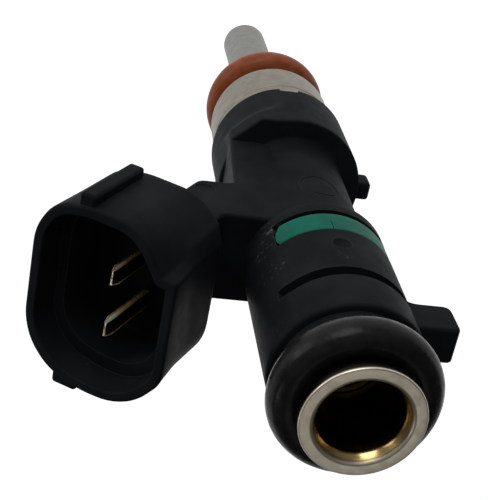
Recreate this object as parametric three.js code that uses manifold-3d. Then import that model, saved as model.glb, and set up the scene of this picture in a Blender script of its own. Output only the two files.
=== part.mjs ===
// Port fuel injector with a long nozzle, modelled as its separate pieces.
// Millimetres. The injector's axis is Z: the nozzle points down and the fuel inlet points up.
// The origin is the centre of the spray face at the nozzle tip. +X is the side of the socket.
import * as THREE from 'three';
import { mergeVertices } from 'three/addons/utils/BufferGeometryUtils.js';
import Module from 'manifold-3d';

const wasm = await Module();
wasm.setup();

// ---------- driving dimensions ----------

const LENGTH = 88;              // spray face to inlet face
const GAP = 0.1;                // clearance between pieces that meet in the real object
const FINE = 36;                // sides of the round pieces that show
const COARSE = 24;              // sides of the round pieces inside
const BODY_SIDES = 48;          // sides of the moulded body

// seal rings
const RAIL_RING = { height: 84.39, radius: 5.52, section: 1.77 };
const PORT_RING = { height: 23.7, radius: 5.44, section: 1.75 };

// fuel tube
const TUBE_OUTER = 3.65;
const TUBE_INNER = 3.25;
const TUBE_BOTTOM = 40;
const FLANGE_RADIUS = 5.16;
const FLANGE_THICKNESS = 1.7;
const MOUTH_RADIUS = 4.0;       // inner edge of the flat inlet face

// valve body
const NOZZLE_OUTER = 2.87;
const NOZZLE_INNER = 2.4;
const GUIDE_OUTER = 3.6;        // wider part that carries the port seal and guides the armature
const GUIDE_INNER = 3.2;
const GUIDE_BOTTOM = 20.4;
const GUIDE_TOP = 36.5;

// moulded body
const BARREL_RADIUS = 6.8;
const BARREL_TOP = 82.3;
const BARREL_BOTTOM = 63.3;
const WAIST_RADIUS = 5.55;
const SKIRT_RADIUS = 7.65;
const SKIRT_TOP = 46.1;
const SKIRT_BOTTOM = 36.7;
const CLIP_GROOVE = { low: 75.3, high: 76.65, radius: 5.9 };
const BAND = { low: 65.4, high: 68.6, radius: 6.0 };
const BAND_SHADOW_GAP = 0.5;    // open part of the band's groove, on the nozzle side of the band
const PAD_HALF_ANGLE = 40;      // degrees either side of +X that the groove and the band leave plain

// web and neck that carry the terminals
const NECK_HALF_WIDTH = 4.6;
const NECK_FRONT = 63.65;
const NECK_REAR = 56.6;
const WEB_FACE = 7.9;

// socket, in its own frame: its axis leans from +Z towards +X, and its origin is the mouth centre
const SOCKET_LEAN = THREE.MathUtils.degToRad(31.9);
const SOCKET_MOUTH = new THREE.Vector3(20.5, 0, 75);
const SOCKET_LENGTH = 10;
const SOCKET_KEY_LENGTH = 8;    // length of the stepped-out side that keys the plug
const SOCKET_DEPTH = 8.6;
const SOCKET_WALL = 0.9;
const LEDGE_DEPTH = 3.2;        // the hollow is narrower below this depth
const LEDGE = 0.7;

// small features of the moulded body, given by their low and high corners
const LATCH_RAIL = { low: [1.85, -9.85, -8.4], high: [3.35, -8.3, -0.1] };   // socket frame
const GUIDE_RIB = { low: [1.4, 7.6, -3.2], high: [3.85, 9.1, -0.1] };        // socket frame
const ANTI_ROTATION_LUG = { low: [-11, -1.8, 71.6], high: [-5.5, 1.8, 75.7] };
const SKIRT_LUG = { low: [-9, -1, 42.6], high: [-7, 1, 45] };
const SKIRT_NOTCH = {
  low: [-0.9, -SKIRT_RADIUS - 0.35, SKIRT_BOTTOM - 1],
  high: [1.3, -SKIRT_RADIUS + 0.35, SKIRT_BOTTOM + 0.9],
};
const DIMPLE = { radius: 0.95, depth: 0.5, angle: -89, height: 71.2 };
const SHOULDER = { face: 7.3, knee: 4.3, start: -1.2, reach: 9.2 };          // square side of the skirt

// terminals
const TERMINAL = { elbowDepth: 16.6, webX: 6.4, webTop: 57.5, webBottom: 49.2, coilX: 3.95, coilTop: 47 };
const BLADE_WIDTH = 1.8;
const BLADE_THICKNESS = 0.6;
const BLADE_OFFSET = 2.56;      // from the middle plane to each blade
const BLADE_RECESS = 1.4;       // blade tip below the socket's mouth
const BLADE_CLEARANCE = 0.15;

// solenoid
const POT_OUTER = 7.05;
const POT_UPPER_OUTER = 6.5;
const POT_INNER = 5.7;
const POT_BOTTOM = 26.1;
const POT_FLOOR = 29.6;
const POT_TOP = 45;
const COIL_BOTTOM = 29.7;
const COIL_TOP = 43.3;

// filter
const FILTER_FRAME = { low: 64, high: 77.5, outer: 2.9, inner: 2.4, collar: 3.1, floor: 0.8 };
const FILTER_MESH = { low: 65, high: 77.4, inner: 2.15, outer: 2.3 };
const FILTER_RING = { low: 77.6, high: 79.4, inner: 2.75 };

// valve
const LIFT = 0.08;              // needle travel
const ARMATURE_TOP = 39.2;
const ARMATURE_BOTTOM = 32.6;
const CORE_BOTTOM = ARMATURE_TOP + LIFT + 0.02;
const CORE_TOP = 58;
const CORE_BORE = 1.5;
const SPRING_SEAT = 37.9;
const SPRING_TOP = 50.9;
const SPRING = { wire: 0.2, radius: 1.05, turns: 8 };
const SLEEVE = { inner: 1.0, outer: 1.4, top: 57.4, halfSlot: 20 };
const WINDING = { inner: 4.3, outer: 5.35 };
const NEEDLE = { inner: 0.75, outer: 1.1, crossHoles: [[30, 0], [6, 45]] };
const BALL_RADIUS = 1.3;
const BALL_HEIGHT = 2.5;

// ---------- shape helpers ----------

// One closed body: shared vertices merged and empty triangles dropped.
function closed(geometry) {
  const bare = new THREE.BufferGeometry();
  bare.setAttribute('position', geometry.getAttribute('position').clone());
  if (geometry.index) bare.setIndex(geometry.index.clone());
  const merged = mergeVertices(bare, 1e-4);
  const index = merged.index.array;
  const kept = [];
  for (let i = 0; i < index.length; i += 3) {
    const [a, b, c] = [index[i], index[i + 1], index[i + 2]];
    if (a !== b && b !== c && c !== a) kept.push(a, b, c);
  }
  merged.setIndex(kept);
  return merged;
}

function toSolid(geometry) {
  const body = closed(geometry);
  return new wasm.Manifold(new wasm.Mesh({
    numProp: 3,
    vertProperties: new Float32Array(body.getAttribute('position').array),
    triVerts: new Uint32Array(body.index.array),
  }));
}

function fromSolid(solid) {
  const mesh = solid.getMesh();
  const geometry = new THREE.BufferGeometry();
  geometry.setAttribute('position', new THREE.BufferAttribute(mesh.vertProperties, 3));
  geometry.setIndex(new THREE.BufferAttribute(mesh.triVerts, 1));
  return geometry;
}

const join = (...geometries) => fromSolid(geometries.map(toSolid).reduce((a, b) => a.add(b)));
const overlap = (...geometries) => fromSolid(geometries.map(toSolid).reduce((a, b) => a.intersect(b)));

function cut(geometry, ...tools) {
  return fromSolid(tools.map(toSolid).reduce((a, b) => a.subtract(b), toSolid(geometry)));
}

// Solid of revolution about Z from [radius, height] points, in any direction round the outline.
function turned(profile, sides = FINE) {
  let area = 0;
  profile.forEach(([r, z], i) => {
    const [r2, z2] = profile[(i + 1) % profile.length];
    area += r * z2 - r2 * z;
  });
  const points = (area > 0 ? profile : [...profile].reverse()).map(([r, z]) => new THREE.Vector2(r, z));
  const onAxis = points[0].x === 0 && points[points.length - 1].x === 0;
  if (!onAxis) points.push(points[0].clone());
  return closed(new THREE.LatheGeometry(points, sides).rotateX(Math.PI / 2));
}

const rod = (radius, low, high, sides = FINE) =>
  turned([[0, low], [radius, low], [radius, high], [0, high]], sides);

const ring = (inner, outer, low, high, sides = FINE) =>
  turned([[inner, low], [outer, low], [outer, high], [inner, high]], sides);

// Points on an arc in [radius, height], from one angle to the other in degrees.
function arcPoints(centreR, centreZ, radius, from, to, steps) {
  return Array.from({ length: steps + 1 }, (_, i) => {
    const angle = THREE.MathUtils.degToRad(from + ((to - from) * i) / steps);
    return [centreR + radius * Math.cos(angle), centreZ + radius * Math.sin(angle)];
  });
}

function sealRing({ height, radius, section }) {
  const outline = arcPoints(radius, height, section, 0, 360, 12).slice(0, -1);
  return turned(outline, FINE);
}

// Straight prism of an XY shape between two heights.
function prism(shape, low, high, curveSegments = 4) {
  const options = { depth: high - low, bevelEnabled: false, curveSegments };
  return closed(new THREE.ExtrudeGeometry(shape, options).translate(0, 0, low));
}

// Plate of an XZ shape, as wide as two half widths about a middle plane across Y.
function plateXZ(shape, halfWidth, middle = 0) {
  return prism(shape, -halfWidth, halfWidth).rotateX(Math.PI / 2).translate(0, middle, 0);
}

function block({ low, high }) {
  const size = high.map((value, i) => value - low[i]);
  const middle = high.map((value, i) => (value + low[i]) / 2);
  return closed(new THREE.BoxGeometry(...size).translate(...middle));
}

// Closed outline through corner points [x, y, corner radius], with round corners.
function roundedShape(corners) {
  const shape = new THREE.Shape();
  corners.forEach(([x, y, radius], i) => {
    const here = new THREE.Vector2(x, y);
    const previous = new THREE.Vector2(...corners[(i + corners.length - 1) % corners.length]);
    const next = new THREE.Vector2(...corners[(i + 1) % corners.length]);
    const back = previous.sub(here).normalize();
    const ahead = next.sub(here).normalize();
    const reach = radius / Math.tan(back.angleTo(ahead) / 2);
    const from = here.clone().addScaledVector(back, reach);
    const to = here.clone().addScaledVector(ahead, reach);
    if (i === 0) shape.moveTo(from.x, from.y);
    else shape.lineTo(from.x, from.y);
    if (radius > 0) shape.quadraticCurveTo(here.x, here.y, to.x, to.y);
  });
  shape.closePath();
  return shape;
}

// The same corners moved inwards by one wall, for a counter-clockwise outline.
function inset(corners, wall) {
  const count = corners.length;
  const edge = (i) => {
    const [x1, y1] = corners[i];
    const [x2, y2] = corners[(i + 1) % count];
    const length = Math.hypot(x2 - x1, y2 - y1);
    const normal = [-(y2 - y1) / length, (x2 - x1) / length];
    return { normal, offset: normal[0] * x1 + normal[1] * y1 + wall };
  };
  return corners.map(([, , radius], i) => {
    const a = edge((i + count - 1) % count);
    const b = edge(i);
    const det = a.normal[0] * b.normal[1] - a.normal[1] * b.normal[0];
    const x = (a.offset * b.normal[1] - b.offset * a.normal[1]) / det;
    const y = (a.normal[0] * b.offset - b.normal[0] * a.offset) / det;
    return [x, y, Math.max(radius - wall, 0.2)];
  });
}

// Sector of a ring, from one angle to another in degrees.
function sector(inner, outer, low, high, from, to, curveSegments = 14) {
  const [a, b] = [from, to].map(THREE.MathUtils.degToRad);
  const shape = new THREE.Shape();
  shape.absarc(0, 0, outer, a, b, false);
  shape.absarc(0, 0, inner, b, a, true);
  shape.closePath();
  return prism(shape, low, high, curveSegments);
}

// Outline of a bent strip of even thickness along a centre line.
function stripShape(line, thickness) {
  const side = (sign) => line.map(([x, z], i) => {
    const before = i > 0 ? unit(line[i - 1], line[i]) : unit(line[i], line[i + 1]);
    const after = i < line.length - 1 ? unit(line[i], line[i + 1]) : before;
    const normal = new THREE.Vector2(-before.y - after.y, before.x + after.x).normalize();
    const reach = thickness / 2 / normal.dot(new THREE.Vector2(-before.y, before.x));
    return new THREE.Vector2(x + sign * reach * normal.x, z + sign * reach * normal.y);
  });
  return new THREE.Shape([...side(1), ...side(-1).reverse()]);
}

function unit(from, to) {
  return new THREE.Vector2(to[0] - from[0], to[1] - from[1]).normalize();
}

// Round tool that enters a side of the body along a radius, at an angle in degrees from +X.
function sideDrill(radius, angle, height, fromRadius, toRadius, sides = 16) {
  return rod(radius, fromRadius, toRadius, sides)
    .rotateY(Math.PI / 2)
    .rotateZ(THREE.MathUtils.degToRad(angle))
    .translate(0, 0, height);
}

const inSocketFrame = (geometry) => geometry
  .rotateY(SOCKET_LEAN)
  .translate(SOCKET_MOUTH.x, SOCKET_MOUTH.y, SOCKET_MOUTH.z);

// ---------- moulded body ----------

// Socket outline, counter-clockwise, [across, along Y, corner radius]. It is keyed by the step on
// the side that faces the barrel.
const SOCKET_OUTLINE = [
  [7.25, 3.6, 1.8], [6.3, 5.8, 1.8], [4.3, 7.8, 2.0], [1.2, 8.6, 2.5], [-2.1, 8.5, 2.5],
  [-4.5, 7.3, 2.0], [-6.66, 4.6, 1.8], [-6.66, -5.2, 0.3], [-5.3, -5.2, 0.3], [-3.4, -7.8, 1.4],
  [-1.7, -8.7, 1.6], [2.4, -8.85, 2.5], [5.3, -8.1, 2.5], [7.1, -5.4, 2.5],
];
// The rear of the shell has no step.
const SOCKET_REAR_OUTLINE = [
  ...SOCKET_OUTLINE.slice(0, 6),
  [-5.8, 4.9, 1.8], [-5.8, -5.2, 1.5], [-3.9, -7.7, 1.5],
  ...SOCKET_OUTLINE.slice(10),
];

const SOCKET_AXIS = new THREE.Vector2(Math.sin(SOCKET_LEAN), Math.cos(SOCKET_LEAN));

// Centre line of both terminals in the XZ plane, from the blade tip down to the coil.
function terminalLine(depthOfTip) {
  const middle = new THREE.Vector2(SOCKET_MOUTH.x - 0.08, SOCKET_MOUTH.z);
  const tip = middle.clone().addScaledVector(SOCKET_AXIS, -depthOfTip);
  const elbow = middle.clone().addScaledVector(SOCKET_AXIS, -TERMINAL.elbowDepth);
  return [
    [tip.x, tip.y],
    [elbow.x, elbow.y],
    [TERMINAL.webX, TERMINAL.webTop],
    [TERMINAL.webX, TERMINAL.webBottom],
    [TERMINAL.coilX, TERMINAL.coilTop],
    [TERMINAL.coilX, COIL_TOP + 0.25],
  ];
}

function bodyOfRevolution() {
  const cuff = 0.3;
  return turned([
    [0, SKIRT_BOTTOM],
    [SKIRT_RADIUS - cuff, SKIRT_BOTTOM],
    [SKIRT_RADIUS, SKIRT_BOTTOM + cuff],
    [SKIRT_RADIUS, SKIRT_TOP],
    [WAIST_RADIUS, SKIRT_TOP],
    [WAIST_RADIUS, BARREL_BOTTOM - 0.5],
    [WAIST_RADIUS + 0.3, BARREL_BOTTOM - 0.1],
    [BARREL_RADIUS - 0.35, BARREL_BOTTOM],
    [BARREL_RADIUS, BARREL_BOTTOM + 0.35],
    [BARREL_RADIUS, BARREL_TOP - 0.3],
    [BARREL_RADIUS - 0.3, BARREL_TOP],
    [0, BARREL_TOP],
  ], BODY_SIDES);
}

// The skirt is round at the pot and grows two corners towards the web.
function skirtShoulders() {
  const side = SKIRT_RADIUS - 0.2;
  const bottom = SKIRT_BOTTOM + 3;
  const { face, knee, start, reach } = SHOULDER;
  const outline = roundedShape([
    [start, -side, 0], [knee, -side, 0.5], [face, -NECK_HALF_WIDTH, 0.5],
    [face, NECK_HALF_WIDTH, 0.5], [knee, side, 0.5], [start, side, 0],
  ]);
  const growth = turned([
    [0, bottom],
    [side, bottom],
    [reach, SKIRT_TOP - 0.8],
    [reach, SKIRT_TOP],
    [0, SKIRT_TOP],
  ], BODY_SIDES);
  return overlap(prism(outline, bottom, SKIRT_TOP), growth);
}

function webAndNeck() {
  const shellRear = (across) => new THREE.Vector2(
    SOCKET_MOUTH.x + across * SOCKET_AXIS.y, SOCKET_MOUTH.z - across * SOCKET_AXIS.x,
  ).addScaledVector(SOCKET_AXIS, 0.6 - SOCKET_LENGTH);
  const front = shellRear(-3.3);
  const rear = shellRear(2.0);
  const frontElbow = front.clone().addScaledVector(SOCKET_AXIS, (NECK_FRONT - front.y) / SOCKET_AXIS.y);
  const rearElbow = rear.clone().addScaledVector(SOCKET_AXIS, (NECK_REAR - rear.y) / SOCKET_AXIS.y);
  const insideX = 2;
  const outline = roundedShape([
    [insideX, SKIRT_TOP - 1, 0], [WEB_FACE - 0.7, SKIRT_TOP - 1, 0],
    [WEB_FACE, NECK_REAR, 0.6], [rearElbow.x, NECK_REAR, 1.0],
    [rear.x, rear.y, 0], [front.x, front.y, 0],
    [frontElbow.x, NECK_FRONT, 0.8], [insideX, NECK_FRONT, 0],
  ]);
  return plateXZ(outline, NECK_HALF_WIDTH);
}

function socketShell() {
  const front = prism(roundedShape(SOCKET_OUTLINE), -SOCKET_KEY_LENGTH, 0);
  const rear = prism(roundedShape(SOCKET_REAR_OUTLINE), -SOCKET_LENGTH, -SOCKET_KEY_LENGTH + 1);
  return inSocketFrame(join(front, rear));
}

function socketHollow() {
  const mouthShape = roundedShape(inset(SOCKET_OUTLINE, SOCKET_WALL));
  const deepShape = roundedShape(inset(SOCKET_REAR_OUTLINE, SOCKET_WALL + LEDGE));
  const mouth = prism(mouthShape, -LEDGE_DEPTH, 1);
  const deep = prism(deepShape, -SOCKET_DEPTH, -LEDGE_DEPTH + 0.5);
  return inSocketFrame(join(mouth, deep));
}

// Rail on the socket's upper side that the harness plug latches behind, and the small rib opposite.
const latchRail = () => inSocketFrame(block(LATCH_RAIL));
const guideRib = () => inSocketFrame(block(GUIDE_RIB));

// Slots that the terminals lie in, open into the socket.
function terminalSlot(middle) {
  const shape = stripShape(terminalLine(BLADE_RECESS + 3), BLADE_THICKNESS + 2 * BLADE_CLEARANCE);
  return plateXZ(shape, BLADE_WIDTH / 2 + BLADE_CLEARANCE, middle);
}

function bodyMoulding() {
  const outside = 9;
  const groove = ({ radius, low, high }) =>
    sector(radius, outside, low, high, PAD_HALF_ANGLE, 360 - PAD_HALF_ANGLE);
  const clipGroove = groove(CLIP_GROOVE);
  const bandGroove = groove({ ...BAND, low: BAND.low - BAND_SHADOW_GAP });
  const dimple = sideDrill(
    DIMPLE.radius, DIMPLE.angle, DIMPLE.height, BARREL_RADIUS - DIMPLE.depth, BARREL_RADIUS + 1, 12,
  );
  const barrel = cut(bodyOfRevolution(), clipGroove, bandGroove, dimple, block(SKIRT_NOTCH));
  const solidBody = join(
    barrel, skirtShoulders(), webAndNeck(), socketShell(), latchRail(), guideRib(),
    block(ANTI_ROTATION_LUG), block(SKIRT_LUG),
  );
  const tubeBore = rod(TUBE_OUTER + GAP, SKIRT_BOTTOM - 1, BARREL_TOP + 1);
  const potBore = rod(POT_UPPER_OUTER + GAP, SKIRT_BOTTOM - 1, POT_TOP + GAP);
  const terminalSlots = [-BLADE_OFFSET, BLADE_OFFSET].map(terminalSlot);
  return cut(solidBody, tubeBore, potBore, socketHollow(), ...terminalSlots);
}

function colourBand() {
  const slack = 0.6;            // degrees of play at each end of the band
  const seamHalfWidth = 0.04;
  const seamDepth = 0.25;
  const band = sector(
    BAND.radius + GAP, BARREL_RADIUS - 0.02, BAND.low + GAP, BAND.high - GAP / 2,
    PAD_HALF_ANGLE + slack, 360 - PAD_HALF_ANGLE - slack, 22,
  );
  const seam = block({
    low: [-seamHalfWidth, -BARREL_RADIUS - 1, BAND.low - 1],
    high: [seamHalfWidth, -BARREL_RADIUS + seamDepth, BAND.high + 1],
  }).rotateZ(THREE.MathUtils.degToRad(4));
  return cut(band, seam);
}

// ---------- fuel tube and filter ----------

function inletTube() {
  const lipCentre = LENGTH - 0.75;
  return turned([
    [TUBE_INNER, TUBE_BOTTOM],
    [TUBE_OUTER, TUBE_BOTTOM],
    [TUBE_OUTER, LENGTH - FLANGE_THICKNESS - 0.1],
    [TUBE_OUTER + 0.3, LENGTH - FLANGE_THICKNESS],
    [FLANGE_RADIUS - 0.35, LENGTH - FLANGE_THICKNESS],
    [FLANGE_RADIUS, LENGTH - FLANGE_THICKNESS + 0.35],
    ...arcPoints(FLANGE_RADIUS - 0.5, LENGTH - 0.5, 0.5, 0, 90, 3),
    [MOUTH_RADIUS, LENGTH],
    ...arcPoints(MOUTH_RADIUS, lipCentre, 0.75, 90, 180, 3).slice(1),
  ], FINE);
}

const filterRing = () =>
  ring(FILTER_RING.inner, TUBE_INNER - GAP, FILTER_RING.low, FILTER_RING.high, COARSE);

function filterFrame() {
  const { low, high, outer, inner, collar, floor } = FILTER_FRAME;
  const cup = turned([
    [0, low], [outer - 0.3, low], [outer, low + 0.4], [outer, high - 0.9],
    [collar, high - 0.7], [collar, high], [inner, high], [inner, low + floor], [0, low + floor],
  ], COARSE);
  const halfRib = 0.55;
  const window = (turn) => block({
    low: [halfRib, halfRib, low + floor + 0.8],
    high: [outer + 1.1, outer + 1.1, high - 1.5],
  }).rotateZ((turn * Math.PI) / 2);
  return cut(cup, ...[0, 1, 2, 3].map(window));
}

const filterMesh = () =>
  ring(FILTER_MESH.inner, FILTER_MESH.outer, FILTER_MESH.low, FILTER_MESH.high, COARSE);

// ---------- magnetic circuit ----------

const fixedCore = () => ring(CORE_BORE, TUBE_INNER - GAP, CORE_BOTTOM, CORE_TOP, COARSE);

const nonMagneticRing = () =>
  ring(GUIDE_INNER, GUIDE_OUTER, GUIDE_TOP + GAP, TUBE_BOTTOM - GAP, COARSE);

function adjustingSleeve() {
  const { inner, outer, top, halfSlot } = SLEEVE;
  return sector(inner, outer, SPRING_TOP + GAP, top, halfSlot, 360 - halfSlot, 8);
}

function returnSpring() {
  const { wire, radius, turns } = SPRING;
  const endGap = 0.06;
  const start = SPRING_SEAT + wire + endGap;
  const rise = SPRING_TOP - wire - endGap - start;
  class Coil extends THREE.Curve {
    getPoint(t, target = new THREE.Vector3()) {
      const angle = 2 * Math.PI * turns * t;
      return target.set(radius * Math.cos(angle), radius * Math.sin(angle), start + rise * t);
    }
  }
  const section = new THREE.Shape();
  section.absarc(0, 0, wire, 0, 2 * Math.PI, false);
  return closed(new THREE.ExtrudeGeometry(section, {
    extrudePath: new Coil(), steps: turns * 12, bevelEnabled: false, curveSegments: 3,
  }));
}

function bobbin() {
  const inner = GUIDE_OUTER + 0.15;
  const barrel = WINDING.inner - GAP;
  const flange = POT_INNER - GAP;
  const web = 0.8;
  return turned([
    [inner, COIL_BOTTOM], [flange, COIL_BOTTOM], [flange, COIL_BOTTOM + web], [barrel, COIL_BOTTOM + web],
    [barrel, COIL_TOP - web], [flange, COIL_TOP - web], [flange, COIL_TOP], [inner, COIL_TOP],
  ], COARSE);
}

const winding = () => ring(WINDING.inner, WINDING.outer, COIL_BOTTOM + 0.9, COIL_TOP - 0.9, COARSE);

function solenoidPot() {
  const bore = GUIDE_OUTER + GAP;
  return turned([
    [bore, POT_BOTTOM],
    [5.4, POT_BOTTOM],
    [6.1, POT_BOTTOM + 0.45],
    [6.6, POT_BOTTOM + 1.3],
    [6.9, POT_BOTTOM + 2.3],
    [POT_OUTER, POT_BOTTOM + 3.3],
    [POT_OUTER, SKIRT_BOTTOM - GAP],
    [POT_UPPER_OUTER, SKIRT_BOTTOM - GAP],
    [POT_UPPER_OUTER, POT_TOP],
    [POT_INNER, POT_TOP],
    [POT_INNER, POT_FLOOR],
    [bore, POT_FLOOR],
  ], FINE);
}

// The washer is open towards +X, where the terminals pass through it.
function fluxWasher() {
  const halfOpening = 44;
  return sector(
    TUBE_OUTER + GAP, POT_INNER - GAP, COIL_TOP + GAP, POT_TOP - GAP, halfOpening, 360 - halfOpening, 8,
  );
}

// ---------- valve ----------

function valveBody() {
  return turned([
    [NOZZLE_INNER, 0],
    [NOZZLE_OUTER - 0.35, 0],
    [NOZZLE_OUTER - 0.1, 0.1],
    [NOZZLE_OUTER, 0.4],
    [NOZZLE_OUTER, GUIDE_BOTTOM - 0.4],
    [GUIDE_OUTER, GUIDE_BOTTOM],
    [GUIDE_OUTER, GUIDE_TOP],
    [GUIDE_INNER, GUIDE_TOP],
    [GUIDE_INNER, GUIDE_BOTTOM + 1.4],
    [NOZZLE_INNER, GUIDE_BOTTOM],
  ], FINE);
}

function armature() {
  const outer = GUIDE_INNER - 0.08;
  const needleHole = NEEDLE.outer + GAP;
  const springHole = 1.4;
  return turned([
    [needleHole, ARMATURE_BOTTOM], [outer - 0.5, ARMATURE_BOTTOM], [outer, ARMATURE_BOTTOM + 0.6],
    [outer, ARMATURE_TOP], [springHole, ARMATURE_TOP], [springHole, SPRING_SEAT], [needleHole, SPRING_SEAT],
  ], FINE);
}

function needleTube() {
  const tube = ring(NEEDLE.inner, NEEDLE.outer, BALL_HEIGHT + BALL_RADIUS + GAP, SPRING_SEAT - 0.3, COARSE);
  const crossHole = ([height, angle]) => sideDrill(0.35, angle, height, -2, 2, 12);
  return cut(tube, ...NEEDLE.crossHoles.map(crossHole));
}

const valveBall = () => closed(new THREE.SphereGeometry(BALL_RADIUS, COARSE, 12)
  .rotateX(Math.PI / 2).translate(0, 0, BALL_HEIGHT));

function valveSeat() {
  const outer = NOZZLE_INNER - GAP;
  const guide = BALL_RADIUS + 0.08;
  const orifice = 0.65;
  const [bottom, coneBottom, coneTop, top] = [0.4, 1.0, 2.1, 3.1];
  return turned([
    [orifice, bottom], [outer, bottom], [outer, top], [guide, top], [guide, coneTop], [orifice, coneBottom],
  ], COARSE);
}

function sprayPlate() {
  const thickness = 0.3;
  const holeRadius = 0.1;
  const holeCircle = 0.45;
  const plate = rod(NOZZLE_INNER - GAP, 0, thickness, COARSE);
  const hole = (i) => rod(holeRadius, -1, 1, 8).translate(holeCircle, 0, 0).rotateZ((i * Math.PI) / 2);
  return cut(plate, ...[0, 1, 2, 3].map(hole));
}

function sealRetainer() {
  const bore = GUIDE_OUTER + GAP;
  const outer = 5.1;
  const [bottom, top] = [20.5, 21.75];
  return turned([
    [bore, bottom], [outer - 0.3, bottom], [outer, bottom + 0.3],
    [outer, top - 0.15], [outer - 0.1, top], [bore, top],
  ], FINE);
}

const terminal = (middle) =>
  plateXZ(stripShape(terminalLine(BLADE_RECESS), BLADE_THICKNESS), BLADE_WIDTH / 2, middle);

// ---------- materials and assembly ----------

const FINISHES = {
  body_moulding: [0x1c1d20, 0.5, 0],
  colour_band: [0x0e6b4f, 0.45, 0],
  rail_o_ring: [0x0c0c0d, 0.3, 0],
  port_o_ring: [0x8a4630, 0.4, 0],
  inlet_tube: [0xa89c86, 0.25, 1],
  solenoid_pot: [0xa3a199, 0.3, 1],
  valve_body: [0x9a9a94, 0.45, 1],
  port_seal_retainer: [0x8f8f8a, 0.4, 1],
  terminal_upper: [0xb99a55, 0.3, 1],
  terminal_lower: [0xb99a55, 0.3, 1],
  filter_ring: [0xb08d4a, 0.35, 1],
  filter_frame: [0x6b5a3c, 0.5, 0],
  filter_mesh: [0x8c8268, 0.5, 0],
  adjusting_sleeve: [0x8d8f92, 0.35, 1],
  return_spring: [0x9fa1a4, 0.3, 1],
  fixed_core: [0x84878b, 0.4, 1],
  non_magnetic_ring: [0xb5b5b0, 0.3, 1],
  armature: [0x7d8084, 0.4, 1],
  needle_tube: [0xb0b2b5, 0.3, 1],
  valve_ball: [0xd0d2d4, 0.12, 1],
  valve_seat: [0x8a8c90, 0.3, 1],
  spray_plate: [0xa5a7aa, 0.3, 1],
  solenoid_bobbin: [0x2b2724, 0.5, 0],
  solenoid_winding: [0x8c4a21, 0.35, 1],
  flux_washer: [0x7a7c80, 0.4, 1],
};

const SHAPES = {
  body_moulding: bodyMoulding(),
  colour_band: colourBand(),
  rail_o_ring: sealRing(RAIL_RING),
  port_o_ring: sealRing(PORT_RING),
  inlet_tube: inletTube(),
  solenoid_pot: solenoidPot(),
  valve_body: valveBody(),
  port_seal_retainer: sealRetainer(),
  terminal_upper: terminal(-BLADE_OFFSET),
  terminal_lower: terminal(BLADE_OFFSET),
  filter_ring: filterRing(),
  filter_frame: filterFrame(),
  filter_mesh: filterMesh(),
  adjusting_sleeve: adjustingSleeve(),
  return_spring: returnSpring(),
  fixed_core: fixedCore(),
  non_magnetic_ring: nonMagneticRing(),
  armature: armature(),
  needle_tube: needleTube(),
  valve_ball: valveBall(),
  valve_seat: valveSeat(),
  spray_plate: sprayPlate(),
  solenoid_bobbin: bobbin(),
  solenoid_winding: winding(),
  flux_washer: fluxWasher(),
};

const injector = new THREE.Group();
for (const [name, shape] of Object.entries(SHAPES)) {
  const [color, roughness, metalness] = FINISHES[name];
  const mesh = new THREE.Mesh(shape, new THREE.MeshStandardMaterial({ color, roughness, metalness }));
  mesh.name = name;
  injector.add(mesh);
}

export default injector;
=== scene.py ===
import math

import bmesh
import bpy
from mathutils import Matrix, Vector


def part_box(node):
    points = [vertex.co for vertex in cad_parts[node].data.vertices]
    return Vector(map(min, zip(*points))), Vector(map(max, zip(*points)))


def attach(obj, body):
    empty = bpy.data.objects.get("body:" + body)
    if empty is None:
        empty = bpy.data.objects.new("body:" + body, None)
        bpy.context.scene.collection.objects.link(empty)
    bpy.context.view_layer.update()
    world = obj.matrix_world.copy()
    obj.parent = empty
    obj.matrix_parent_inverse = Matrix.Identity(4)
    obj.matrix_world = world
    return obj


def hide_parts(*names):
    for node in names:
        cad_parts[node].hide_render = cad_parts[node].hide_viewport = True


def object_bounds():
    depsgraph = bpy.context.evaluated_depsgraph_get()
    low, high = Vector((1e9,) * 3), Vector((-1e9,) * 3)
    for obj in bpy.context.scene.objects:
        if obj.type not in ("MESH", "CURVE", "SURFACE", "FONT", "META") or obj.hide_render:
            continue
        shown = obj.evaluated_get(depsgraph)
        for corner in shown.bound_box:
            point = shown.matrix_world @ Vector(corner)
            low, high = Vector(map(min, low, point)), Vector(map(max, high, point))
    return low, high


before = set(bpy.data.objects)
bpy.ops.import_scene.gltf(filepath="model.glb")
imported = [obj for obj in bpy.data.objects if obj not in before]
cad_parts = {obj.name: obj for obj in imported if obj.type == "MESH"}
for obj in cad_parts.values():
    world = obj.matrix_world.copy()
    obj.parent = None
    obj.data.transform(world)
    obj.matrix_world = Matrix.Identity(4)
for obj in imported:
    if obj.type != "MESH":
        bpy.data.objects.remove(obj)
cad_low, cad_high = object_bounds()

# A port fuel injector. Shapes are made in millimetres in the frame's own axes: the injector's axis
# is Z, the inlet is up, and the electrical socket is towards +X. complete() scales each to metres.
MM = 0.001
ROUND = 144                     # sides of the turned pieces
SEAL_SIDES = 160
TOOL_SIDES = 48                 # sides of the small round cutting tools
OFF_AXIS = 0.37                 # share of a side by which turned pieces start off the X axis
ARC_STEPS = 4                   # steps of the round edges of the moulded body
EDGE_STEPS = 3                  # steps of the round edges of prisms and of the socket
BEYOND = 1                      # how far a cutting tool reaches past the surface that it cuts
TINY = 1e-6
WELD = 2e-4                     # vertices closer than this are merged
SLIVER = 1e-5                   # edges shorter than this are dissolved


def low(node):
    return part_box(node)[0] / MM


def high(node):
    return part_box(node)[1] / MM


# ---------- sizes from the frame ----------

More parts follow.
